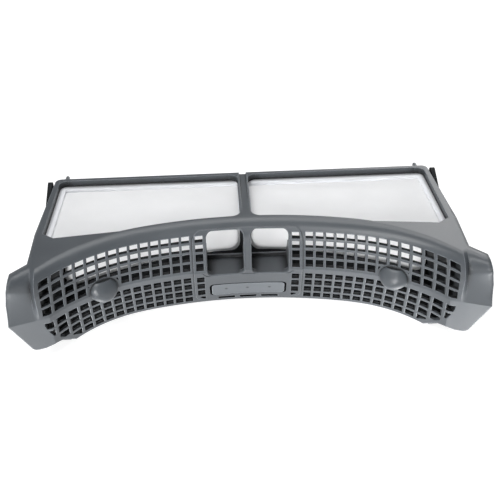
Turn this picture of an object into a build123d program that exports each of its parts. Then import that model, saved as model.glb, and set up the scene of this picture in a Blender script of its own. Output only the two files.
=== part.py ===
# Two-half lint filter of a tumble dryer: a curved grille and windowed frame, hinged to a rear tray
import os
from math import atan2, cos, degrees, sin, sqrt

from build123d import *

os.makedirs("parts", exist_ok=True)

# Grille flange: heights above the surface it lies on, then its curve in plan
crease_z = 46.0
deck_z = 90.0
nose_y = -18.05
undercut = 20.5
lean = 1.6
roll_radius = 18.0
wall = 4.5
deck_thickness = 3.0
deck_land = 1.2
land_step = 0.6
centre_radius = 360.0
centre_reach = 95.0
end_radius = 150.0
foot_radius = 122.0
steepest = 0.98
grille_reach = 178.5
bead_x = 170.5
centre_steps = 4
centre_overrun = 2
end_shares = (0.26, 0.5, 0.72, 0.88, 1.0)

# End caps that flare outward beyond a valley at each end of the grille
cap_reach = 203.4
cap_forward = 72.7
cap_undercut = 10.0
cap_lean = -5.0
cap_roll = 5.0
cap_land = 8.0
cap_scoop = 3.0
cap_wall = 3.0
cap_bulge = 1.0
valley_step = 4.0
cap_foot_x = 188.0
cap_foot_z = 10.5
cap_foot_round = 6.0
end_plate_depth = 45.0
end_plate_thickness = 2.5
end_plate_step = 1.0
end_plate_foot = 12.5
cap_top_x = 198.5
foot_rise_x = 156.0
foot_bend_x = 165.0
foot_bend_z = 11.0
foot_arch_x = 170.0
foot_arch_z = 13.0

# Holes of the grille, in straight columns and rows
hole_pitch = 9.0
hole_width = 6.9
hole_columns = 14
first_hole_x = 51.6
panel_hole_x = 39.6
upper_rows = ((82.5, 5.2), (75.1, 6.9), (65.9, 7.4), (56.2, 7.4))
lower_top = 40.0
lower_pitch = 10.1
lower_rows = 4
lower_height = 7.5
lower_limit = 3.2
grille_end_x = 177.3
grille_end_top = 84.5
grille_end_round = 13.0
grille_waist_x = 172.6
grille_waist_z = 28.0
grille_foot_z = 13.0
grille_flat_x = 152.0
grille_top_x = 175.5
grille_foot_x = 164.0

# Boss on each side of the grille
boss_x = 127.6
boss_z = 48.8
boss_radius = 13.2
boss_height = 10.8
boss_depth = 8.5
boss_slices = 6
boss_fall = 0.55
boss_rim = 0.6

# Grip panel with two finger openings and the release bar
panel_half = 48.9
panel_bottom = 3.4
panel_top = 86.0
panel_round = 8.0
panel_proud = 1.2
panel_border = 2.4
panel_rib = 7.0
finger_out = 36.6
finger_bottom = 42.0
finger_top = 85.0
finger_round = 5.0
shelf_depth = 30.0
shelf_thickness = 2.0
shelf_lip = 3.0
cheek_depth = 14.0
bar_half = 33.4
bar_bottom = 10.8
bar_top = 26.4
bar_round = 3.0
bar_proud = 0.4
bar_gap_side = 2.0
bar_gap = 0.6
bar_arm_x = 20.0
bar_arm_width = 8.0
bar_arm_height = 3.0
bar_arm_reach = 14.0
bar_arm_z = 18.0
catch_y = 9.55
catch_thickness = 2.5
slot_count = 3
slot_length = 15.5
slot_pitch = 20.0
slot_bottom = 4.2
slot_height = 2.8

# Front frame with two windows
frame_far_y = 86.05
frame_far_half = 179.0
deck_half = 186.0
deck_front_y = -63.45
taper_start_y = -15.45
frame_corner = 6.0
frame_bottom = 80.5
divider_half = 5.8
window_far_y = 75.55
window_far_half = 170.0
window_near_half = 174.0
window_near_y = -14.45
window_cut_x = 166.5
window_cut_y = -22.45
window_turn_x = 112.0
window_step = 0.5
window_round = 9.0
window_corner = 3.0
ledge = 5.0
ledge_divider = 1.0
ledge_far = 6.5
ledge_z = 83.5
seat_border = 4.0
notch_half = 3.2
notch_depth = 1.8
skirt = 2.5
skirt_depth = 10.0
peg_x = 169.0
peg_z = 87.6
peg_length = 7.3
peg_base = 2.3
peg_tip = 1.9

# Mesh sheets
mesh_thickness = 0.8
mesh_overlap = 2.5
mesh_clearance = 0.15

# Hinge at the far edge
hinge_y = 80.55
hinge_z = 83.5
stud_radius = 2.2
stud_clearance = 0.05
stud_root = 6.0
ear_inner = 182.5
ear_thickness = 4.0
ear_radius = 6.0
ear_foot_y = 48.55
ear_foot_z = 62.0
ear_foot_top = 77.5

# Rear tray
clearance = 0.3
flange_clearance = 1.0
tray_half = 176.0
tray_wall = 2.5
tray_floor = 2.5
tray_front_y = -50.0
bend_y = 16.55
tray_far_y = 74.55
tray_far_z = 75.0
rear_divider_half = 7.3
rear_window_half = 170.3
rear_window_near = 41.0
rear_window_far = 86.0
rear_window_radius = 489.0
rear_window_round = 9.0

# Long enough for any cut to pass right through
through = 400.0
front_view = Plane(origin=(0, 0, 0), x_dir=(1, 0, 0), z_dir=(0, -1, 0))
cap_end = cap_reach + 1.0
slope = atan2(tray_far_z, tray_far_y - bend_y)
slope_plane = Plane(origin=(0, bend_y, 0), x_dir=(1, 0, 0), z_dir=(0, -sin(slope), cos(slope)))


def plan_drop(x, tight_radius):
    # How far the flange has come forward at x: a wide arc that tightens towards the ends
    near = min(abs(x), centre_reach)
    drop = centre_radius - sqrt(centre_radius**2 - near**2)
    if abs(x) > centre_reach:
        start = centre_reach / centre_radius
        end = min(start + (abs(x) - centre_reach) / tight_radius, steepest)
        drop += tight_radius * (sqrt(1 - start**2) - sqrt(1 - end**2))
    return drop


def wall_y(x):
    # Plan curve of the grille
    return nose_y - plan_drop(x, end_radius)


def crease_y(x):
    # Plan line of the nose crease: along the grille, then straight to the corner of the cap
    if x <= bead_x:
        return wall_y(x)
    share = (x - bead_x) / (cap_reach - bead_x)
    return wall_y(bead_x) + (nose_y - cap_forward - wall_y(bead_x)) * share


def foot_y(x):
    curve = nose_y + undercut - plan_drop(x, foot_radius)
    return crease_y(x) + max(curve - wall_y(x), cap_undercut)


def ridge_y(x):
    return wall_y(x) + lean + roll_radius


def flange_section(x):
    # Closed wall profile at x: lower face, crease, upper face, roll into the deck, and back inside
    share = max(x - grille_reach, 0) / (cap_end - grille_reach)
    on_cap = share > 0
    front = crease_y(abs(x))
    foot = front + cap_undercut if on_cap else foot_y(abs(x))
    roll = roll_radius + (cap_roll - roll_radius) * share
    top = front + lean + (cap_lean - lean) * share if on_cap else wall_y(x) + lean
    depth = wall + (cap_wall - wall) * share
    land = cap_land if on_cap else deck_land
    inner_roll = roll - depth
    ridge = top + roll
    roll_z = deck_z - roll
    under_z = deck_z - deck_thickness - land_step
    inner_z = under_z - inner_roll
    half = sqrt(0.5)
    middle = (front + top) / 2 + cap_scoop * share
    middle_z = (crease_z + roll_z) / 2
    with BuildSketch(Plane.YZ.offset(x)) as profile:
        with BuildLine():
            Line((foot, 0), (front, crease_z))
            if on_cap:
                ThreePointArc((front, crease_z), (middle, middle_z), (top, roll_z))
            else:
                Line((front, crease_z), (top, roll_z))
            ThreePointArc((top, roll_z), (ridge - roll * half, roll_z + roll * half), (ridge, deck_z))
            Polyline((ridge, deck_z), (ridge + land, deck_z), (ridge + land, under_z), (ridge, under_z))
            ThreePointArc(
                (ridge, under_z),
                (ridge - inner_roll * half, inner_z + inner_roll * half),
                (ridge - inner_roll, inner_z),
            )
            if on_cap:
                inner_middle = (front + depth + ridge - inner_roll) / 2 + cap_scoop * share
                ThreePointArc(
                    (ridge - inner_roll, inner_z),
                    (inner_middle, (crease_z + inner_z) / 2),
                    (front + depth, crease_z),
                )
            else:
                Line((ridge - inner_roll, inner_z), (front + depth, crease_z))
            Polyline((front + depth, crease_z), (foot + depth, 0), (foot, 0))
        make_face()
    return profile.sketch


def shifted_arc(x_start, x_end, shift, tight_radius=end_radius):
    # Arc of the flange's plan curve between two stations, moved along Y
    points = []
    for x in (x_start, (x_start + x_end) / 2, x_end):
        points.append((x, shift - plan_drop(x, tight_radius)))
    return ThreePointArc(*points)


# Right half of the flange wall, lofted past the middle so that it runs smoothly across it, then its bead
stations = [centre_reach * i / centre_steps for i in range(-centre_overrun, centre_steps + 1)]
for share in end_shares:
    stations.append(centre_reach + (bead_x - centre_reach) * share)
grille_sections = [flange_section(x) for x in stations]
bead_sections = [flange_section(x) for x in (bead_x, (bead_x + grille_reach) / 2, grille_reach)]
with BuildPart() as flange_wall:
    loft(grille_sections)
    split(bisect_by=Plane.YZ, keep=Keep.TOP)
    loft(bead_sections, ruled=True)

# Right end cap: a straight step out of the grille, then a smooth sweep to its side
valley_x = grille_reach + valley_step
cap_sections = [flange_section(x) for x in (grille_reach, valley_x, (valley_x + cap_end) / 2, cap_end)]
with BuildPart() as end_cap:
    loft(cap_sections[:2], ruled=True)
    loft(cap_sections[1:])


def grille_holes():
    # Grid of holes on the right half, kept inside the rounded end of the grille and off the boss
    with BuildSketch(front_view) as holes:
        for top, height in hole_rows:
            for i in range(hole_columns):
                with Locations((first_hole_x + hole_pitch * i, top - height)):
                    Rectangle(hole_width, height, align=(Align.MIN, Align.MIN))
        with BuildSketch(front_view, mode=Mode.INTERSECT) as limit:
            with BuildLine():
                Polyline((0, lower_limit), (grille_flat_x, lower_limit), (grille_foot_x, grille_foot_z))
                ThreePointArc(
                    (grille_foot_x, grille_foot_z),
                    (grille_waist_x, grille_waist_z),
                    (grille_end_x, crease_z),
                )
                Polyline(
                    (grille_end_x, crease_z),
                    (grille_top_x, grille_end_top),
                    (0, grille_end_top),
                    (0, lower_limit),
                )
            make_face()
            end_corner = limit.vertices().sort_by_distance((grille_top_x, 0, grille_end_top))[0]
            fillet(end_corner, grille_end_round)
        with Locations((boss_x, boss_z)):
            Ellipse(boss_radius + boss_rim, boss_height + boss_rim, mode=Mode.SUBTRACT)
    return holes.sketch


def panel_holes():
    # One column of holes beside the finger openings, cut off by the rounded corner of the panel
    with BuildSketch(front_view) as holes:
        for top, height in hole_rows:
            with Locations((panel_hole_x, top - height)):
                Rectangle(hole_width, height, align=(Align.MIN, Align.MIN))
        with BuildSketch(front_view, mode=Mode.INTERSECT):
            with Locations((0, panel_bottom + panel_border)):
                RectangleRounded(
                    2 * (panel_half - panel_border), deck_z, panel_round, align=(Align.CENTER, Align.MIN)
                )
    return holes.sketch


def panel_openings():
    # Finger opening, release bar opening and the drain slots under it, on the right half
    with BuildSketch(front_view) as openings:
        with Locations(((panel_rib / 2 + finger_out) / 2, (finger_bottom + finger_top) / 2)):
            RectangleRounded(finger_out - panel_rib / 2, finger_top - finger_bottom, finger_round)
        with Locations((0, (bar_bottom + bar_top) / 2)):
            RectangleRounded(
                2 * (bar_half + bar_gap_side), bar_top - bar_bottom + 2 * bar_gap, bar_round + bar_gap
            )
        for i in range(slot_count):
            with Locations(((i - (slot_count - 1) / 2) * slot_pitch, slot_bottom + slot_height / 2)):
                Rectangle(slot_length, slot_height)
    return openings.sketch


hole_rows = list(upper_rows)
hole_rows += [(lower_top - lower_pitch * i, lower_height) for i in range(lower_rows)]
proud_wall = flange_wall.part.moved(Location((0, -panel_proud, 0)))

# Raised grip panel, right half, following the face of the flange
with BuildPart() as grip_panel:
    add(proud_wall)
    with BuildSketch(front_view):
        with Locations((0, (panel_bottom + panel_top) / 2)):
            RectangleRounded(2 * panel_half, panel_top - panel_bottom, panel_round)
    extrude(amount=through, both=True, mode=Mode.INTERSECT)

# Boss on the grille: oval slices that stand out most below the middle
boss_turn = degrees(atan2(wall_y(boss_x - 1) - wall_y(boss_x + 1), 2))
boss_sections = []
for i in range(boss_slices):
    level = (i + 0.5) / boss_slices
    spread = sqrt(1 - (2 * level - 1) ** 2)
    with BuildSketch(Plane.XY.offset(boss_z + boss_height * (1 - 2 * level))) as boss_slice:
        with Locations((boss_x, wall_y(boss_x))):
            Ellipse(boss_radius * spread, boss_depth * spread * (boss_fall + level), rotation=-boss_turn)
    boss_sections.append(boss_slice.sketch)
with BuildPart() as boss:
    loft(boss_sections)

# Grille, right half: wall, panel and boss pierced by every opening in one cut
hole_sketches = [grille_holes(), panel_holes(), panel_openings()]
with BuildPart() as grille_half:
    add(flange_wall.part)
    add(end_cap.part)
    add(grip_panel.part)
    add(boss.part)
    for sketch in hole_sketches:
        extrude(sketch, amount=through, both=True, mode=Mode.SUBTRACT)

    # Outline seen from the front: the foot rises to the end cap, whose side slopes up to the deck
    with BuildSketch(front_view) as outside:
        with BuildLine():
            Polyline(
                (foot_rise_x, 0),
                (foot_bend_x, foot_bend_z),
                (foot_arch_x, foot_arch_z),
                (grille_reach, cap_foot_z),
                (cap_foot_x, cap_foot_z),
                (cap_reach, crease_z),
                (cap_reach - cap_bulge, (crease_z + deck_z) / 2),
                (cap_top_x, deck_z),
                (cap_top_x, 2 * deck_z),
                (2 * cap_reach, 2 * deck_z),
                (2 * cap_reach, 0),
                close=True,
            )
        make_face()
        fillet(outside.vertices().sort_by_distance((cap_foot_x, 0, cap_foot_z))[0], cap_foot_round)
    extrude(amount=through, both=True, mode=Mode.SUBTRACT)


def window_face(outer, far, inner, near):
    # Right window of the front frame, grown on each side by the given amounts
    near_shift = ridge_y(0) + deck_land + window_step - near
    start_x = divider_half - inner
    cut_x = window_cut_x + outer / 2
    with BuildSketch() as window:
        with BuildLine():
            shifted_arc(start_x, centre_reach, near_shift)
            shifted_arc(centre_reach, window_turn_x, near_shift)
            Polyline(
                (window_turn_x, near_shift - plan_drop(window_turn_x, end_radius)),
                (cut_x, window_cut_y - near),
                (window_near_half + outer, window_near_y - near),
                (window_far_half + outer, window_far_y + far),
                (start_x, window_far_y + far),
                (start_x, near_shift - plan_drop(start_x, end_radius)),
            )
        make_face()
        inner_corners = window.vertices().group_by(Axis.X)[0].sort_by(Axis.Y)
        far_outer = window.vertices().group_by(Axis.Y)[-1].sort_by(Axis.X)[-1]
        fillet(inner_corners[0], window_round)
        fillet([inner_corners[-1], far_outer], window_corner)
    return window.sketch


def deck_face():
    # Right half of the deck and frame seen from above, from the ridge of the roll to the far edge
    front_shift = ridge_y(0) + deck_land / 2
    with BuildSketch() as deck:
        with BuildLine():
            shifted_arc(0, centre_reach, front_shift)
            shifted_arc(centre_reach, grille_reach, front_shift)
            Polyline(
                (grille_reach, front_shift - plan_drop(grille_reach, end_radius)),
                (deck_half, deck_front_y),
                (deck_half, taper_start_y),
                (frame_far_half, frame_far_y),
                (0, frame_far_y),
                (0, front_shift),
            )
        make_face()
        fillet(deck.vertices().group_by(Axis.Y)[-1].sort_by(Axis.X)[-1], frame_corner)
    return deck.sketch


def deck_front_face():
    # Part of the right half in front of the window frame, where only the thin deck remains
    border_shift = ridge_y(0) + deck_land - seat_border
    border_y = window_cut_y - seat_border
    with BuildSketch() as front:
        with BuildLine():
            shifted_arc(0, centre_reach, border_shift)
            shifted_arc(centre_reach, window_turn_x, border_shift)
            Polyline(
                (window_turn_x, border_shift - plan_drop(window_turn_x, end_radius)),
                (window_cut_x, border_y),
                (cap_end, border_y),
                (cap_end, border_y - through),
                (0, border_y - through),
                (0, border_shift),
            )
        make_face()
    return front.sketch


deck_outline = deck_face()
window_opening = window_face(0, 0, 0, 0)
window_pocket = window_face(ledge, ledge_far, ledge_divider, 0)
window_seat = window_face(mesh_overlap, mesh_overlap, mesh_overlap, mesh_overlap)
frame_outline = deck_outline - deck_front_face()
under_deck = deck_z - deck_thickness
cheek_back = nose_y + shelf_depth
taper = (deck_half - frame_far_half) / (frame_far_y - taper_start_y)
side_at_hinge = deck_half - taper * (hinge_y - taper_start_y)

# Deck and window frame, right half
with BuildPart() as frame_half:
    extrude(Plane.XY.offset(under_deck) * deck_outline, amount=deck_thickness)
    extrude(Plane.XY.offset(frame_bottom) * frame_outline, amount=under_deck - frame_bottom)
    extrude(Plane.XY.offset(ledge_z) * window_pocket, amount=deck_z - ledge_z, mode=Mode.SUBTRACT)
    extrude(Plane.XY.offset(frame_bottom) * window_opening, amount=ledge_z - frame_bottom, mode=Mode.SUBTRACT)
    extrude(Plane.XY.offset(frame_bottom) * window_seat, amount=mesh_thickness, mode=Mode.SUBTRACT)

    # Channel along the divider between the rims of the two windows, deepest at the far edge
    with BuildSketch(Plane.YZ):
        with BuildLine():
            Polyline(
                (ridge_y(0) + deck_land + window_round, deck_z),
                (frame_far_y, deck_z - notch_depth),
                (frame_far_y, deck_z),
                close=True,
            )
        make_face()
    extrude(amount=notch_half, mode=Mode.SUBTRACT)

    # Skirt along the side of the deck
    with Locations((deck_half, taper_start_y, under_deck)):
        Box(skirt, taper_start_y - deck_front_y, skirt_depth, align=(Align.MAX, Align.MAX, Align.MAX))

    # Guide peg and hinge stud at the far edge
    with Locations(Plane(origin=(peg_x, frame_far_y, peg_z), z_dir=(0, 1, 0))):
        Cone(peg_base, peg_tip, peg_length, align=(Align.CENTER, Align.CENTER, Align.MIN))
    with Locations(Plane(origin=(side_at_hinge - stud_root, hinge_y, hinge_z), z_dir=(1, 0, 0))):
        Cylinder(
            stud_radius,
            ear_inner + ear_thickness - side_at_hinge + stud_root,
            align=(Align.CENTER, Align.CENTER, Align.MIN),
        )

    # Shelf and cheeks behind the finger openings
    with BuildSketch(Plane.YZ):
        with Locations((nose_y + wall / 2, finger_bottom)):
            Rectangle(shelf_depth - wall / 2, shelf_thickness, align=(Align.MIN, Align.MAX))
    extrude(amount=finger_out + shelf_thickness)
    with BuildSketch(Plane.YZ) as cheek_profile:
        with BuildLine():
            Polyline(
                (nose_y + wall / 2, finger_bottom - shelf_thickness),
                (cheek_back, finger_bottom - shelf_thickness),
                (cheek_back, finger_bottom + shelf_thickness),
                (nose_y + cheek_depth, finger_top - roll_radius),
                (nose_y + wall / 2, finger_top - roll_radius),
                close=True,
            )
        make_face()
    extrude(amount=panel_rib / 2)
    extrude(Plane.YZ.offset(finger_out) * cheek_profile.sketch_local, amount=shelf_thickness)
    with Locations((0, cheek_back, finger_bottom)):
        Box(
            finger_out + shelf_thickness,
            shelf_thickness,
            shelf_lip,
            align=(Align.MIN, Align.MAX, Align.MIN),
        )

    # End plate behind the last holes of the grille
    plate_foot = foot_y(grille_reach) - cap_undercut * end_plate_foot / crease_z
    with BuildSketch(Plane.YZ.offset(grille_reach + end_plate_step)):
        with BuildLine():
            Polyline(
                (crease_y(grille_reach) + cap_wall / 2, crease_z),
                (wall_y(grille_reach) + roll_radius, under_deck),
                (deck_front_y + end_plate_depth, under_deck),
                (deck_front_y + end_plate_depth, end_plate_foot),
                (plate_foot + cap_wall / 2, end_plate_foot),
                close=True,
            )
        make_face()
    extrude(amount=end_plate_thickness)

# Front shell: one moulding, mirrored about the middle
with BuildPart() as front_shell:
    add(grille_half.part)
    add(frame_half.part)
    mirror(about=Plane.YZ)
front_shell.part.label = "front_shell"
export_step(front_shell.part, "parts/front_shell.step")

# Mesh sheets of the front windows, seated under the ledge
with BuildPart() as front_mesh_right:
    sheet = window_face(*[mesh_overlap - mesh_clearance] * 4)
    extrude(Plane.XY.offset(frame_bottom) * sheet, amount=mesh_thickness)
front_mesh_right.part.label = "front_mesh_right"
export_step(front_mesh_right.part, "parts/front_mesh_right.step")

with BuildPart() as front_mesh_left:
    mirror(front_mesh_right.part, about=Plane.YZ)
front_mesh_left.part.label = "front_mesh_left"
export_step(front_mesh_left.part, "parts/front_mesh_left.step")

# Release bar in the panel, with two arms reaching over the catches of the tray
bar_z = (bar_bottom + bar_top) / 2
bar_front = nose_y + undercut * (1 - bar_z / crease_z) - panel_proud - bar_proud
bar_plane = Plane(origin=(0, bar_front, bar_z), x_dir=(1, 0, 0), z_dir=(0, -undercut, crease_z))
bar_sag = bar_half**2 / (2 * centre_radius)
with BuildPart() as latch_bar:
    with BuildSketch(bar_plane):
        with BuildLine():
            ThreePointArc((-bar_half, -bar_sag), (0, 0), (bar_half, -bar_sag))
            Line((bar_half, -bar_sag), (bar_half, wall - bar_sag))
            ThreePointArc((bar_half, wall - bar_sag), (0, wall), (-bar_half, wall - bar_sag))
            Line((-bar_half, wall - bar_sag), (-bar_half, -bar_sag))
        make_face()
    extrude(amount=bar_top - bar_bottom, both=True)
    with BuildSketch(front_view):
        with Locations((0, bar_z)):
            RectangleRounded(2 * bar_half, bar_top - bar_bottom, bar_round)
    extrude(amount=through, both=True, mode=Mode.INTERSECT)
    bar_back = nose_y + undercut * (1 - bar_arm_z / crease_z) + wall - panel_proud
    with Locations((bar_arm_x, bar_back - wall / 2, bar_arm_z), (-bar_arm_x, bar_back - wall / 2, bar_arm_z)):
        Box(
            bar_arm_width,
            bar_arm_reach + wall / 2,
            bar_arm_height,
            align=(Align.CENTER, Align.MIN, Align.MIN),
        )
latch_bar.part.label = "latch_bar"
export_step(latch_bar.part, "parts/latch_bar.step")


def rear_window_face(grow):
    # Right window of the sloping wall, in the plane of the slope
    inner = rear_divider_half - grow
    outer = rear_window_half + grow
    middle = (inner + outer) / 2
    near = [(x, rear_window_near - grow - x**2 / (2 * rear_window_radius)) for x in (inner, middle, outer)]
    with BuildSketch() as window:
        with BuildLine():
            ThreePointArc(*near)
            Polyline(near[2], (outer, rear_window_far + grow), (inner, rear_window_far + grow), near[0])
        make_face()
        inner_corners = window.vertices().group_by(Axis.X)[0].sort_by(Axis.Y)
        outer_corners = window.vertices().group_by(Axis.X)[-1].sort_by(Axis.Y)
        fillet([inner_corners[0], outer_corners[0]], rear_window_round)
        fillet([inner_corners[-1], outer_corners[-1]], window_corner)
    return window.sketch


# Rear tray: floor, sloping wall with two windows, side walls and hinge ears
wall_top = frame_bottom - clearance
near_shift = nose_y + undercut + wall + flange_clearance
with BuildPart() as rear_frame:
    inner_bend = bend_y - tray_floor * (1 - cos(slope)) / sin(slope)
    with BuildSketch(Plane.YZ):
        with BuildLine():
            Polyline(
                (tray_front_y, 0),
                (bend_y, 0),
                (tray_far_y, tray_far_z),
                (tray_far_y - tray_floor * sin(slope), tray_far_z + tray_floor * cos(slope)),
                (inner_bend, tray_floor),
                (tray_front_y, tray_floor),
                close=True,
            )
        make_face()
    extrude(amount=tray_half)
    with BuildSketch(Plane.YZ.offset(tray_half - tray_wall)):
        with BuildLine():
            Polyline(
                (tray_front_y, 0),
                (bend_y, 0),
                (tray_far_y, tray_far_z),
                (tray_far_y, wall_top),
                (tray_front_y, wall_top),
                close=True,
            )
        make_face()
    extrude(amount=tray_wall)

    # Front edge of the floor, following the foot of the flange
    with BuildSketch():
        with BuildLine():
            shifted_arc(0, centre_reach, near_shift, foot_radius)
            shifted_arc(centre_reach, tray_half, near_shift, foot_radius)
            Polyline(
                (tray_half, near_shift - plan_drop(tray_half, foot_radius)),
                (tray_half, tray_front_y - through),
                (0, tray_front_y - through),
                (0, near_shift),
            )
        make_face()
    extrude(amount=tray_floor, mode=Mode.SUBTRACT)
    extrude(slope_plane * rear_window_face(0), amount=through / 4, both=True, mode=Mode.SUBTRACT)
    extrude(
        slope_plane.offset(tray_floor - mesh_thickness) * rear_window_face(mesh_overlap),
        amount=mesh_thickness,
        mode=Mode.SUBTRACT,
    )

    # Catch under each arm of the release bar
    with Locations((bar_arm_x, catch_y, 0)):
        Box(
            bar_arm_width,
            catch_thickness,
            bar_arm_z - clearance,
            align=(Align.CENTER, Align.MIN, Align.MIN),
        )

    # Hinge ear outside the front frame, carried by a web from the side wall
    with BuildSketch(Plane.YZ.offset(tray_half - tray_wall)):
        with Locations((ear_foot_y, ear_foot_z)):
            Rectangle(tray_far_y - ear_foot_y, ear_foot_top - ear_foot_z, align=(Align.MIN, Align.MIN))
    extrude(amount=ear_inner + ear_thickness - tray_half + tray_wall)
    with BuildSketch(Plane.YZ.offset(ear_inner)):
        with Locations((hinge_y, hinge_z)):
            Circle(ear_radius)
        with Locations((ear_foot_y, ear_foot_z)):
            Rectangle(tray_far_y - ear_foot_y, ear_foot_top - ear_foot_z, align=(Align.MIN, Align.MIN))
        make_hull()
    extrude(amount=ear_thickness)
    with Locations(Plane(origin=(ear_inner, hinge_y, hinge_z), z_dir=(1, 0, 0))):
        Cylinder(
            stud_radius + stud_clearance,
            ear_thickness,
            align=(Align.CENTER, Align.CENTER, Align.MIN),
            mode=Mode.SUBTRACT,
        )
    mirror(about=Plane.YZ)
rear_frame.part.label = "rear_frame"
export_step(rear_frame.part, "parts/rear_frame.step")

# Mesh sheets of the sloping wall, seated flush with its inner face
with BuildPart() as rear_mesh_right:
    sheet = rear_window_face(mesh_overlap - mesh_clearance)
    extrude(slope_plane.offset(tray_floor - mesh_thickness) * sheet, amount=mesh_thickness)
rear_mesh_right.part.label = "rear_mesh_right"
export_step(rear_mesh_right.part, "parts/rear_mesh_right.step")

with BuildPart() as rear_mesh_left:
    mirror(rear_mesh_right.part, about=Plane.YZ)
rear_mesh_left.part.label = "rear_mesh_left"
export_step(rear_mesh_left.part, "parts/rear_mesh_left.step")
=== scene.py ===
import math

import bmesh
import bpy
from mathutils import Matrix, Vector, noise
from mathutils.bvhtree import BVHTree


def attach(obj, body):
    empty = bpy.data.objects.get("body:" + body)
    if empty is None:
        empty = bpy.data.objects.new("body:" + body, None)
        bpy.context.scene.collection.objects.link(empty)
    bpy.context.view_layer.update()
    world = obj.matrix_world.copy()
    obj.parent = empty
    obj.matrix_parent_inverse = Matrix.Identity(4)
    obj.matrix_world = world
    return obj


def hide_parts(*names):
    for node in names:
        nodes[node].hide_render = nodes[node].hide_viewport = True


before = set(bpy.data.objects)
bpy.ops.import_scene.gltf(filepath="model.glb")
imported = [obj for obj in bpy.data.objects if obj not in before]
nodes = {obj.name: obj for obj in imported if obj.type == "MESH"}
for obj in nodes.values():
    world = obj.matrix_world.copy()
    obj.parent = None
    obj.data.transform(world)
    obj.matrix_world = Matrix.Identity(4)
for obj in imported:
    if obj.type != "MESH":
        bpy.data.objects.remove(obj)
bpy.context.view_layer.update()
scene = bpy.context.scene
mm = 0.001
sides = (("Left", -1), ("Right", 1))  # name, and the sign of x
widthAxis = Vector((1, 0, 0))
noiseMiddle = 0.5  # a noise texture wavers about this
print("frame loaded:", len(nodes), "pieces")


# Shader maths: a socket that can be added, subtracted and multiplied
class Val:
    def __init__(self, finish, socket):
        self.finish = finish
        self.socket = socket

    def math(self, operation, first, second=0.0):
        return self.finish.val("ShaderNodeMath", {"operation": operation}, {0: first, 1: second})

    def __add__(self, other):
        return self.math("ADD", self, other)

    def __radd__(self, other):
        return self.math("ADD", other, self)

    def __sub__(self, other):
        return self.math("SUBTRACT", self, other)

    def __rsub__(self, other):
        return self.math("SUBTRACT", other, self)

    def __mul__(self, other):
        return self.math("MULTIPLY", self, other)

    def __rmul__(self, other):
        return self.math("MULTIPLY", other, self)

    # 0 at low, 1 at high
    def clamped(self, low, high):
        return self.finish.val("ShaderNodeMapRange", {"clamp": True}, {0: self, 1: low, 2: high})


# One material and the nodes in it
class Finish:
    def __init__(self, name):
        self.material = bpy.data.materials.new(name)
        self.material.use_nodes = True
        self.tree = self.material.node_tree
        self.tree.nodes.clear()

    def node(self, kind, settings=None, sockets=None):
        made = self.tree.nodes.new(kind)
        for key, value in (settings or {}).items():
            setattr(made, key, value)
        for key, value in (sockets or {}).items():
            if isinstance(value, Val):
                self.tree.links.new(value.socket, made.inputs[key])
            else:
                made.inputs[key].default_value = value
        return made

    def val(self, kind, settings=None, sockets=None, out=0):
        return Val(self, self.node(kind, settings, sockets).outputs[out])

    # A Mix node has its own sockets for each kind of value
    def mixColour(self, factor, first, second):
        return self.val("ShaderNodeMix", {"data_type": "RGBA"}, {0: factor, 6: first, 7: second}, 2)

    def mixVector(self, factor, first, second):
        return self.val("ShaderNodeMix", {"data_type": "VECTOR"}, {0: factor, 4: first, 5: second}, 1)

    def vectorMath(self, operation, first, second):
        return self.val("ShaderNodeVectorMath", {"operation": operation}, {0: first, 1: second}, "Value")

    def place(self):
        return self.val("ShaderNodeTexCoord", out="Object")

    def axes(self):
        split = self.node("ShaderNodeSeparateXYZ", None, {0: self.place()})
        return [Val(self, output) for output in split.outputs]

    def noise(self, scale, detail, roughness):
        sockets = {"Vector": self.place(), "Scale": scale, "Detail": detail, "Roughness": roughness}
        return self.val("ShaderNodeTexNoise", None, sockets)

    def close(self, shader):
        self.node("ShaderNodeOutputMaterial", None, {"Surface": shader})
        return self.material


def colour(level):
    return (*level, 1.0)


def shade(level, amount):
    return (*[channel * amount for channel in level], 1.0)


# Moulded plastic: fine spark grain, soft flow marks, a painted highlight along the rounded edges and
# painted shade in the recesses, which are also rougher
# A noise is its detail and roughness, and a shade is a share of the colour
# A span is the two values where a mask is 0 and 1
shellLook = {
    "colour": (0.071, 0.079, 0.088),
    "roughness": 0.34,
    "gloss": 1.47,  # index of refraction
    "grainScale": 2600.0,
    "grainNoise": (3.0, 0.6),
    "grainSpan": (0.35, 0.75),
    "grainShare": 0.35,
    "grainShade": 1.18,
    "grainRough": 0.1,
    "flowScale": 30.0,
    "flowNoise": (4.0, 0.55),
    "flowSpan": (0.3, 0.7),
    "flowShades": (0.93, 1.06),
    "flowRough": 0.12,
    "edgeRadius": 1.1 * mm,
    "edgeSamples": 6,
    "edgeHighlightSpan": (0.005, 0.12),
    "edgeHighlight": 0.8,
    "edgeHighlightShade": 2.8,
    "capRadius": 6.0 * mm,
    "capSamples": 8,
    "capFrom": (181.0 * mm, 186.0 * mm),
    "capAbove": (49.0 * mm, 54.0 * mm),
    "recessShade": 0.95,
    "recessShadeReach": 14.0 * mm,
    "recessShadeSamples": 8,
    "recessShadeSpan": (0.18, 0.4),
    "recessShadeLevel": 0.06,
    "recessShadeRough": 0.35,
    "bump": 0.25,
    "bumpDepth": 0.12 * mm,
    "dimples": [],
}
# The bar has three small dents, each with painted shade in it; their places are in millimetres
barLook = dict(
    shellLook,
    colour=(0.122, 0.135, 0.149),
    dimples=[(-20.2, -8.5, 19.7), (-0.6, -8.0, 19.7), (19.7, -8.5, 19.7)],
    dimpleSpan=(0.72 * mm, 1.8 * mm),
    dimpleDepth=6.0,
    dimplePaintedShade=0.85,
    dimpleShade=0.2,
)
# The rear frame is painted near black: painted shade that keeps the inside of the filter dark
rearShadeLook = dict(shellLook, colour=(0.014, 0.0155, 0.017), roughness=0.6, gloss=1.25)


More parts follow.
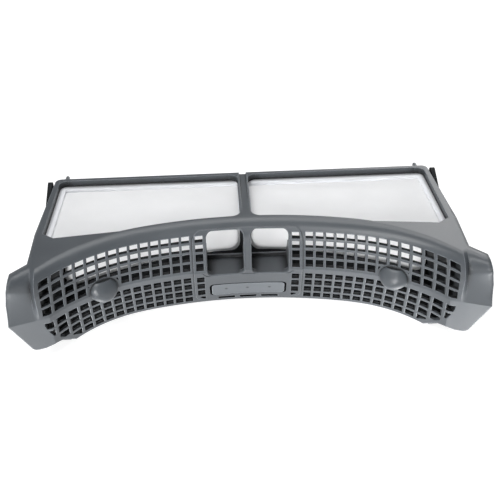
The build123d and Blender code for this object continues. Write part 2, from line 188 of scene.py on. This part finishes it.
def mouldedPlastic(name, look):
    finish = Finish(name)
    plain = look["colour"]
    grain = finish.noise(look["grainScale"], *look["grainNoise"])
    flow = finish.noise(look["flowScale"], *look["flowNoise"])

    # Shaded rounding: narrow on every edge, wide on the upper part of the end caps
    crisp = finish.val("ShaderNodeBevel", {"samples": look["edgeSamples"]}, {"Radius": look["edgeRadius"]})
    soft = finish.val("ShaderNodeBevel", {"samples": look["capSamples"]}, {"Radius": look["capRadius"]})
    x, _, z = finish.axes()
    onCap = x.math("ABSOLUTE", x).clamped(*look["capFrom"]) * z.clamped(*look["capAbove"])
    rounded = finish.mixVector(onCap, crisp, soft)

    flat = finish.val("ShaderNodeNewGeometry", out="Normal")
    edge = (1 - finish.vectorMath("DOT_PRODUCT", crisp, flat)).clamped(*look["edgeHighlightSpan"])
    # Ambient occlusion finds the recesses, which get painted shade and a rougher finish
    reach = {"Distance": look["recessShadeReach"]}
    bare = finish.val("ShaderNodeAmbientOcclusion", {"samples": look["recessShadeSamples"]}, reach, "AO")
    recessShade = (1 - bare).clamped(*look["recessShadeSpan"]) * look["recessShade"]

    dark, pale = [shade(plain, level) for level in look["flowShades"]]
    tint = finish.mixColour(flow.clamped(*look["flowSpan"]), dark, pale)
    specks = grain.clamped(*look["grainSpan"]) * look["grainShare"]
    tint = finish.mixColour(specks, tint, shade(plain, look["grainShade"]))
    # Rounded edges painted paler: a painted highlight along every edge
    tint = finish.mixColour(edge * look["edgeHighlight"], tint, shade(plain, look["edgeHighlightShade"]))
    # Recesses painted dark: painted shade
    tint = finish.mixColour(recessShade, tint, shade(plain, look["recessShadeLevel"]))
    height = grain
    for spot in look["dimples"]:
        away = finish.vectorMath("DISTANCE", finish.place(), Vector(spot) * mm)
        hollow = 1 - away.clamped(*look["dimpleSpan"])
        height = height - hollow * look["dimpleDepth"]
        # Each dent is painted darker: painted shade
        tint = finish.mixColour(hollow * look["dimplePaintedShade"], tint, shade(plain, look["dimpleShade"]))

    bump = finish.val(
        "ShaderNodeBump",
        None,
        {"Strength": look["bump"], "Distance": look["bumpDepth"], "Height": height, "Normal": rounded},
    )
    rough = look["roughness"] + recessShade * look["recessShadeRough"]
    rough = rough + (flow - noiseMiddle) * look["flowRough"] - (grain - noiseMiddle) * look["grainRough"]
    shader = finish.val(
        "ShaderNodeBsdfPrincipled",
        None,
        {"Base Color": tint, "Roughness": rough, "Normal": bump, "IOR": look["gloss"]},
    )
    return finish.close(shader)


def dress(node, material):
    materials = nodes[node].data.materials
    materials.clear()
    materials.append(material)


shellPlastic = mouldedPlastic("shellPlastic", shellLook)
barPlastic = mouldedPlastic("barPlastic", barLook)
rearShadedPlastic = mouldedPlastic("rearShadedPlastic", rearShadeLook)
dress("front_shell", shellPlastic)
dress("rear_frame", rearShadedPlastic)
dress("latch_bar", barPlastic)
print("plastic on")

# Woven polyester mesh: two sets of threads at right angles, thin enough to let light through
meshLook = {
    "colour": (0.96, 0.965, 0.975),
    "pitch": 0.7 * mm,
    "cloudScale": 40.0,
    "cloudNoise": (3.0, 0.5),
    "cloudSpan": (0.3, 0.7),
    "cloudShade": 0.95,
    "cloudRough": 0.2,
    "roughness": 0.7,
    "sheen": 0.15,
    "gap": 0.25,
    "gapShade": 0.7,
    "bump": 0.2,
    "bumpDepth": 0.1 * mm,
    "through": 0.28,
    "throughShade": 0.95,
}
rearMeshLook = dict(meshLook, through=0.55)
hemLook = dict(meshLook, colour=(0.86, 0.875, 0.91), through=0.1)


def wovenMesh(name, look):
    finish = Finish(name)
    plain = look["colour"]
    turn = 2 * math.pi / look["pitch"]
    x, y, z = finish.axes()
    across = x * turn
    along = (y + z) * turn
    warp = across.math("SINE", across).clamped(-1, 1)
    weft = along.math("SINE", along).clamped(-1, 1)
    thread = warp.math("MAXIMUM", warp, weft)
    cloud = finish.noise(look["cloudScale"], *look["cloudNoise"])
    clouded = shade(plain, look["cloudShade"])
    tint = finish.mixColour(cloud.clamped(*look["cloudSpan"]), clouded, colour(plain))
    tint = finish.mixColour((1 - thread) * look["gap"], tint, shade(plain, look["gapShade"]))
    relief = {"Strength": look["bump"], "Distance": look["bumpDepth"], "Height": thread}
    bump = finish.val("ShaderNodeBump", None, relief)
    rough = look["roughness"] + (cloud - noiseMiddle) * look["cloudRough"]
    threads = finish.val(
        "ShaderNodeBsdfPrincipled",
        None,
        {"Base Color": tint, "Roughness": rough, "Normal": bump, "Sheen Weight": look["sheen"]},
    )
    through = finish.val("ShaderNodeBsdfTranslucent", None, {"Color": shade(plain, look["throughShade"])})
    both = finish.val("ShaderNodeMixShader", None, {0: look["through"], 1: threads, 2: through})
    return finish.close(both)


meshWeave = wovenMesh("meshWeave", meshLook)
rearWeave = wovenMesh("rearWeave", rearMeshLook)
hemWeave = wovenMesh("hemWeave", hemLook)
print("weaves made")


def addPiece(name, shape, material, smooth=True):
    mesh = bpy.data.meshes.new(name)
    shape.to_mesh(mesh)
    shape.free()
    for face in mesh.polygons:
        face.use_smooth = smooth
    mesh.materials.append(material)
    piece = bpy.data.objects.new(name, mesh)
    scene.collection.objects.link(piece)
    return piece


# Mesh sheets: they wave a little off their plane and lie calm near the rim
# Waves are noise scales with their shares; facing is how nearly a face has to look up to be used
clothLook = {
    "grid": 3.0 * mm,
    "facing": 0.99,
    "wave": 0.9 * mm,
    "waves": [(28.0, 1.0), (70.0, 0.5)],
    "fade": 14.0 * mm,
    "sink": 0.4 * mm,
    "ledge": 83.5 * mm,
    "ledgeSlack": 0.2 * mm,
    "hemLift": 0.25 * mm,
    "hemStep": 0.4 * mm,
    "hemBottom": 81.0 * mm,
    "windowMiddle": (87.0 * mm, 30.0 * mm),
}


def span(shape, axis):
    reach = [vert.co.dot(axis) for vert in shape.verts]
    return min(reach), max(reach)


# One face of a CAD sheet, cut into a grid along its width and its slope
def sheetGrid(node, up, slope):
    shape = bmesh.new()
    shape.from_mesh(nodes[node].data)
    others = [face for face in shape.faces if face.normal.dot(up) < clothLook["facing"]]
    bmesh.ops.delete(shape, geom=others, context="FACES")
    bmesh.ops.dissolve_faces(shape, faces=shape.faces[:])
    for axis in (widthAxis, slope):
        low, high = span(shape, axis)
        count = round((high - low) / clothLook["grid"])
        for i in range(1, count):
            place = axis * (low + (high - low) * i / count)
            parts = shape.verts[:] + shape.edges[:] + shape.faces[:]
            bmesh.ops.bisect_plane(shape, geom=parts, plane_co=place, plane_no=axis)
    return shape


def rimDistance(vert, rim):
    nearest = math.inf
    for edge in rim:
        start, end = edge.verts[0].co, edge.verts[1].co
        line = end - start
        share = min(max((vert.co - start).dot(line) / line.length_squared, 0), 1)
        nearest = min(nearest, (vert.co - start - line * share).length)
    return nearest


# Margin of the mesh, glued flat on the ledge round each front window and folded down inside it
def meshHem(sign):
    shape = bmesh.new()
    shape.from_mesh(nodes["front_shell"].data)
    others = []
    for face in shape.faces:
        centre = face.calc_center_median()
        onLedge = abs(centre.z - clothLook["ledge"]) < clothLook["ledgeSlack"]
        if not (onLedge and face.normal.z > clothLook["facing"] and centre.x * sign > 0):
            others.append(face)
    bmesh.ops.delete(shape, geom=others, context="FACES")
    for vert in shape.verts:
        vert.co.z += clothLook["hemLift"]
    x, y = clothLook["windowMiddle"]
    middle = Vector((sign * x, y, 0))
    inner = []
    for edge in shape.edges:
        if edge.is_boundary:
            centre = edge.link_faces[0].calc_center_median()
            outward = (edge.verts[0].co + edge.verts[1].co) / 2 - centre
            if outward.dot(middle - centre) > 0:
                inner.append(edge)
    for vert in {vert for edge in inner for vert in edge.verts}:
        step = middle - vert.co
        step.z = 0
        vert.co += step.normalized() * clothLook["hemStep"]
    for part in bmesh.ops.extrude_edge_only(shape, edges=inner)["geom"]:
        if isinstance(part, bmesh.types.BMVert):
            part.co.z = clothLook["hemBottom"]
    return shape


def meshCloth(node, name, body, up, weave):
    slope = up.cross(widthAxis).normalized()
    shape = sheetGrid(node, up, slope)
    area = sum(face.calc_area() for face in shape.faces)
    flat = tuple(high - low for low, high in (span(shape, widthAxis), span(shape, slope)))
    rim = [edge for edge in shape.edges if edge.is_boundary]
    distances = [rimDistance(vert, rim) for vert in shape.verts]
    for vert, distance in zip(shape.verts, distances):
        calm = min(distance / clothLook["fade"], 1)
        wave = sum(share * noise.noise(vert.co * scale) for scale, share in clothLook["waves"])
        vert.co += up * (wave * clothLook["wave"] * calm * calm - clothLook["sink"])
    piece = addPiece(name, shape, weave)
    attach(piece, body)
    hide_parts(node)
    area = min(area, flat[0] * flat[1])


# The upward normal of a CAD sheet's widest face
def sheetUp(node):
    up = Vector((0, 0, 0))
    for face in nodes[node].data.polygons:
        if face.area > up.length:
            up = face.normal * face.area
    up.normalize()
    return -up if up.z < 0 else up


frontUp = Vector((0, 0, 1))
rearUp = sheetUp("rear_mesh_right")
for side, sign in sides:
    hem = addPiece("frontHem" + side, meshHem(sign), hemWeave)
    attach(hem, "front_half")
    frontNode, rearNode = "front_mesh_" + side.lower(), "rear_mesh_" + side.lower()
    meshCloth(frontNode, "frontCloth" + side, "front_half", frontUp, meshWeave)
    meshCloth(rearNode, "rearCloth" + side, "rear_half", rearUp, rearWeave)
print("mesh sheets on")

# Low lip along each side of the tray, which closes the gap under the end plate
lipLook = {
    "out": (175.8 * mm, 185.0 * mm),
    "along": (-49.0 * mm, -15.0 * mm),
    "up": (0.5 * mm, 3.0 * mm),
    "round": {"offset": 0.8 * mm, "segments": 3, "profile": 0.5},
}


def trayLip(sign):
    spans = [lipLook[key] for key in ("out", "along", "up")]
    middle = Vector([(low + high) / 2 for low, high in spans])
    middle.x *= sign
    size = Matrix.Diagonal([high - low for low, high in spans]).to_4x4()
    shape = bmesh.new()
    bmesh.ops.create_cube(shape, size=1.0, matrix=Matrix.Translation(middle) @ size)
    bmesh.ops.bevel(shape, geom=shape.edges[:], affect="EDGES", **lipLook["round"])
    return shape


for side, sign in sides:
    lip = addPiece("trayLip" + side, trayLip(sign), rearShadedPlastic)
    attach(lip, "rear_half")
print("tray lips on")

# Webs that round the far corners of each upper window, in millimetres
# A corner is its own point, then a point along each of its two sides
cornerLook = {
    "atDivider": ((4.8, 82.05), (100.0, 82.05), (4.8, 0.0)),
    "atEnd": ((175.0, 82.05), (100.0, 82.05), (179.0, -14.45)),
    "radius": 8.5,
    "overlap": 0.3,
    "steps": 10,
    "bottom": 83.8,
    "top": 89.95,
}


def cornerWeb(shape, sign, key):
    corner, first, second = [Vector((sign * x, y, 0)) for x, y in cornerLook[key]]
    along, down = (first - corner).normalized(), (second - corner).normalized()
    half = along.angle(down) / 2
    radius = cornerLook["radius"]
    reach = radius / math.tan(half)
    centre = corner + (along + down).normalized() * (radius / math.sin(half))
    start, end = corner + along * reach - centre, corner + down * reach - centre
    back = cornerLook["overlap"]
    outline = [corner + along * reach - down * back]
    for i in range(cornerLook["steps"] + 1):
        outline.append(centre + start.slerp(end, i / cornerLook["steps"]).normalized() * radius)
    outline += [corner + down * reach - along * back, corner - (along + down) * back]
    rings = []
    for height in (cornerLook["bottom"], cornerLook["top"]):
        rings.append([shape.verts.new(Vector((spot.x, spot.y, height)) * mm) for spot in outline])
    bottom, top = rings
    shape.faces.new(bottom)
    shape.faces.new(top)
    for i in range(len(outline)):
        shape.faces.new((bottom[i - 1], bottom[i], top[i], top[i - 1]))


for side, sign in sides:
    webs = bmesh.new()
    for key in ("atDivider", "atEnd"):
        cornerWeb(webs, sign, key)
    bmesh.ops.recalc_face_normals(webs, faces=webs.faces[:])
    web = addPiece("windowCorners" + side, webs, shellPlastic, smooth=False)
    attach(web, "front_half")
print("window corners on")

# Raised beads on the grip panel, in millimetres: a rim round each finger opening and a sill below
# They are drawn in x and z, then laid on the shell from the front
beadLook = {
    "openingX": (3.5, 36.6),
    "openingZ": (42.0, 85.0),
    "openingRound": 5.0,
    "cornerSteps": 6,
    "outside": 0.9,
    "rimRadius": 0.5,
    "sill": [(-41.5, 45.0), (-38.0, 40.6), (38.0, 40.6), (41.5, 45.0)],
    "sillRadius": 0.55,
    "step": 1.5,
    "from": -120.0,
    "facets": 2,
}
shellMesh = nodes["front_shell"].data
shellTree = BVHTree.FromPolygons(
    [vert.co for vert in shellMesh.vertices],
    [face.vertices[:] for face in shellMesh.polygons],
)


def openingLoop(sign):
    out = beadLook["outside"]
    radius = beadLook["openingRound"] + out
    lowX, highX = beadLook["openingX"]
    lowZ, highZ = beadLook["openingZ"]
    left, right = lowX - out + radius, highX + out - radius
    bottom, top = lowZ - out + radius, highZ + out - radius
    loop = []
    for quarter, (x, z) in enumerate(((right, top), (left, top), (left, bottom), (right, bottom))):
        for i in range(beadLook["cornerSteps"] + 1):
            angle = math.pi / 2 * (quarter + i / beadLook["cornerSteps"])
            loop.append((sign * (x + radius * math.cos(angle)), z + radius * math.sin(angle)))
    return loop + loop[:1]


def panelBead(name, corners, radius):
    path = []
    ahead = Vector((0, 1, 0))
    for (x0, z0), (x1, z1) in zip(corners, corners[1:]):
        count = max(round(math.hypot(x1 - x0, z1 - z0) / beadLook["step"]), 1)
        for i in range(count):
            share = i / count
            start = Vector((x0 + (x1 - x0) * share, beadLook["from"], z0 + (z1 - z0) * share)) * mm
            path.append(shellTree.ray_cast(start, ahead)[0])
    curve = bpy.data.curves.new(name, "CURVE")
    curve.dimensions = "3D"
    curve.bevel_depth = radius * mm
    curve.bevel_resolution = beadLook["facets"]
    curve.use_fill_caps = True
    spline = curve.splines.new("POLY")
    spline.points.add(len(path) - 1)
    for point, spot in zip(spline.points, path):
        point.co = (*spot, 1)
    spline.use_cyclic_u = corners[0] == corners[-1]
    curve.materials.append(shellPlastic)
    piece = bpy.data.objects.new(name, curve)
    scene.collection.objects.link(piece)
    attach(piece, "front_half")


for side, sign in sides:
    panelBead("fingerRim" + side, openingLoop(sign), beadLook["rimRadius"])
panelBead("panelSill", beadLook["sill"], beadLook["sillRadius"])
print("panel beads on")

# White round table with an upturned rim; it glows a little, so that it stays white and takes a soft shadow
tableLook = {
    "reach": 5.0,
    "rise": 1.4,
    "steps": 8,
    "sides": 64,
    "drop": 0.2 * mm,
    "weld": 0.1 * mm,
    "colour": (0.35, 0.35, 0.35),
    "glow": 0.85,
    "glowColour": (1.0, 1.0, 1.0),
}


def whiteTable(look):
    finish = Finish("whiteTable")
    light = {"Color": colour(look["glowColour"]), "Strength": look["glow"]}
    glow = finish.val("ShaderNodeEmission", None, light)
    matt = finish.val("ShaderNodeBsdfDiffuse", None, {"Color": colour(look["colour"])})
    return finish.close(finish.val("ShaderNodeAddShader", None, {0: glow, 1: matt}))


sweep = bmesh.new()
outline = [sweep.verts.new((0, 0, 0)), sweep.verts.new((tableLook["reach"], 0, 0))]
for i in range(1, tableLook["steps"] + 1):
    angle = math.pi / 2 * i / tableLook["steps"]
    out = tableLook["reach"] + tableLook["rise"] * math.sin(angle)
    outline.append(sweep.verts.new((out, 0, tableLook["rise"] * (1 - math.cos(angle)))))
ribs = [sweep.edges.new(pair) for pair in zip(outline, outline[1:])]
bmesh.ops.spin(
    sweep,
    geom=outline + ribs,
    cent=(0, 0, 0),
    axis=(0, 0, 1),
    angle=2 * math.pi,
    steps=tableLook["sides"],
)
bmesh.ops.remove_doubles(sweep, verts=sweep.verts[:], dist=tableLook["weld"])
table = addPiece("table", sweep, whiteTable(tableLook))
table.location.z = -tableLook["drop"]
table.visible_shadow = False  # two of the lamps shine up through it
print("table set")

# Soft boxes: power in watts, place, size and aim in metres, spread in degrees
middleAim = (0.0, 0.0, 0.05)
boxLights = {
    "backRight": {
        "place": (0.6, 1.2, 0.8),
        "size": (0.7, 0.8),
        "power": 6.2,
        "aim": middleAim,
        "spread": 180.0,
    },
    "back": {
        "place": (0.2, 0.8, 1.6),
        "size": (1.2, 0.8),
        "power": 11.5,
        "aim": middleAim,
        "spread": 180.0,
    },
    "frontTop": {
        "place": (-0.55, -0.6, 1.4),
        "size": (1.0, 0.6),
        "power": 15.0,
        "aim": middleAim,
        "spread": 180.0,
    },
    "frontLow": {
        "place": (-0.35, -1.0, 0.25),
        "size": (0.5, 0.4),
        "power": 0.55,
        "aim": (0.03, -0.03, 0.03),
        "spread": 35.0,
    },
    "underLeft": {
        "place": (-0.26, -0.13, -0.35),
        "size": (0.2, 0.2),
        "power": 0.26,
        "aim": (-0.2, -0.08, 0.02),
        "spread": 40.0,
    },
    "underRight": {
        "place": (0.26, -0.13, -0.35),
        "size": (0.2, 0.2),
        "power": 0.42,
        "aim": (0.2, -0.08, 0.02),
        "spread": 40.0,
    },
}
for name, box in boxLights.items():
    light = bpy.data.lights.new(name, "AREA")
    light.shape = "RECTANGLE"
    light.size, light.size_y = box["size"]
    light.energy = box["power"]
    light.spread = math.radians(box["spread"])
    lamp = bpy.data.objects.new(name, light)
    lamp.location = box["place"]
    towards = Vector(box["aim"]) - Vector(box["place"])
    lamp.rotation_euler = towards.to_track_quat("-Z", "Y").to_euler()
    scene.collection.objects.link(lamp)

worldLook = {"colour": (0.95, 0.98, 1.0), "strength": 0.08}
world = bpy.data.worlds.new("studio")
world.use_nodes = True
background = world.node_tree.nodes["Background"]
background.inputs["Color"].default_value = colour(worldLook["colour"])
background.inputs["Strength"].default_value = worldLook["strength"]
scene.world = world
print("lights on")

# Camera where the photograph was taken from: place in metres, angles in degrees, lens in millimetres
cameraSet = {
    "place": (-0.0240, -0.75395, 0.5328),
    "tiltDown": 32.337,
    "heading": -2.035,
    "roll": -1.296,
    "lens": 70.42,
    "sensor": 36.0,
    "nearest": 0.01,
}
lens = bpy.data.cameras.new("photoCamera")
lens.lens = cameraSet["lens"]
lens.sensor_width = cameraSet["sensor"]
lens.clip_start = cameraSet["nearest"]
camera = bpy.data.objects.new("photoCamera", lens)
turn = (
    Matrix.Rotation(math.radians(cameraSet["heading"]), 4, "Z")
    @ Matrix.Rotation(math.radians(90 - cameraSet["tiltDown"]), 4, "X")
    @ Matrix.Rotation(math.radians(cameraSet["roll"]), 4, "Z")
)
camera.matrix_world = Matrix.Translation(cameraSet["place"]) @ turn
scene.collection.objects.link(camera)
scene.camera = camera
scene.view_settings.view_transform = "Standard"
print("camera set")

print("done")
